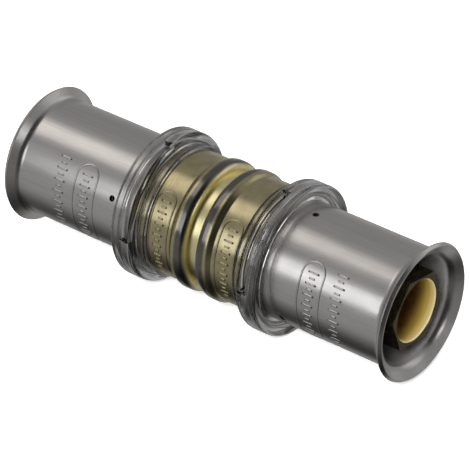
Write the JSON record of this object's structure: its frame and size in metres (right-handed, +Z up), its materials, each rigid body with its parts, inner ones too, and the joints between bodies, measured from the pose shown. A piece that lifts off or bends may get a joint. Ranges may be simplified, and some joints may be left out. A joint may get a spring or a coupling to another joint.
{
  "type": "press coupling",
  "caption": "Straight press coupling that joins two multilayer pipes: brass body with spigots, loose flared steel sleeves and clear guide rings.",
  "frame": {"origin": "middle of the brass body, on the pipe axis", "axes": "+X along the pipe axis, +Z up"},
  "size_m": [0.086, 0.0292, 0.0292],
  "materials": {
    "brass": "turned bright, with fine tool marks",
    "sleeve_steel": "satin stainless steel",
    "clear_plastic": "clear moulded plastic, glossy",
    "seal_rubber": "smooth black rubber",
    "washer_plastic": "natural white plastic"
  },
  "bodies": {
    "body": {"brass_body": "brass", "seal_left_1": "seal_rubber", "seal_left_2": "seal_rubber", "seal_right_1": "seal_rubber", "seal_right_2": "seal_rubber", "insulating_washer_left": "washer_plastic", "insulating_washer_right": "washer_plastic"},
    "ring_left": {"guide_ring_left": "clear_plastic"},
    "ring_right": {"guide_ring_right": "clear_plastic"},
    "sleeve_left": {"press_sleeve_left": "sleeve_steel"},
    "sleeve_right": {"press_sleeve_right": "sleeve_steel"}
  },
  "joints": [
    {"name": "ring_left_turn", "type": "hinge", "parent": "body", "child": "ring_left", "pos_m": [-0.0132, 0, 0], "axis": [1, 0, 0], "continuous": true},
    {"name": "sleeve_left_turn", "type": "hinge", "parent": "ring_left", "child": "sleeve_left", "pos_m": [-0.0138, 0, 0], "axis": [1, 0, 0], "continuous": true},
    {"name": "ring_right_turn", "type": "hinge", "parent": "body", "child": "ring_right", "pos_m": [0.0132, 0, 0], "axis": [1, 0, 0], "continuous": true},
    {"name": "sleeve_right_turn", "type": "hinge", "parent": "ring_right", "child": "sleeve_right", "pos_m": [0.0138, 0, 0], "axis": [1, 0, 0], "continuous": true}
  ]
}
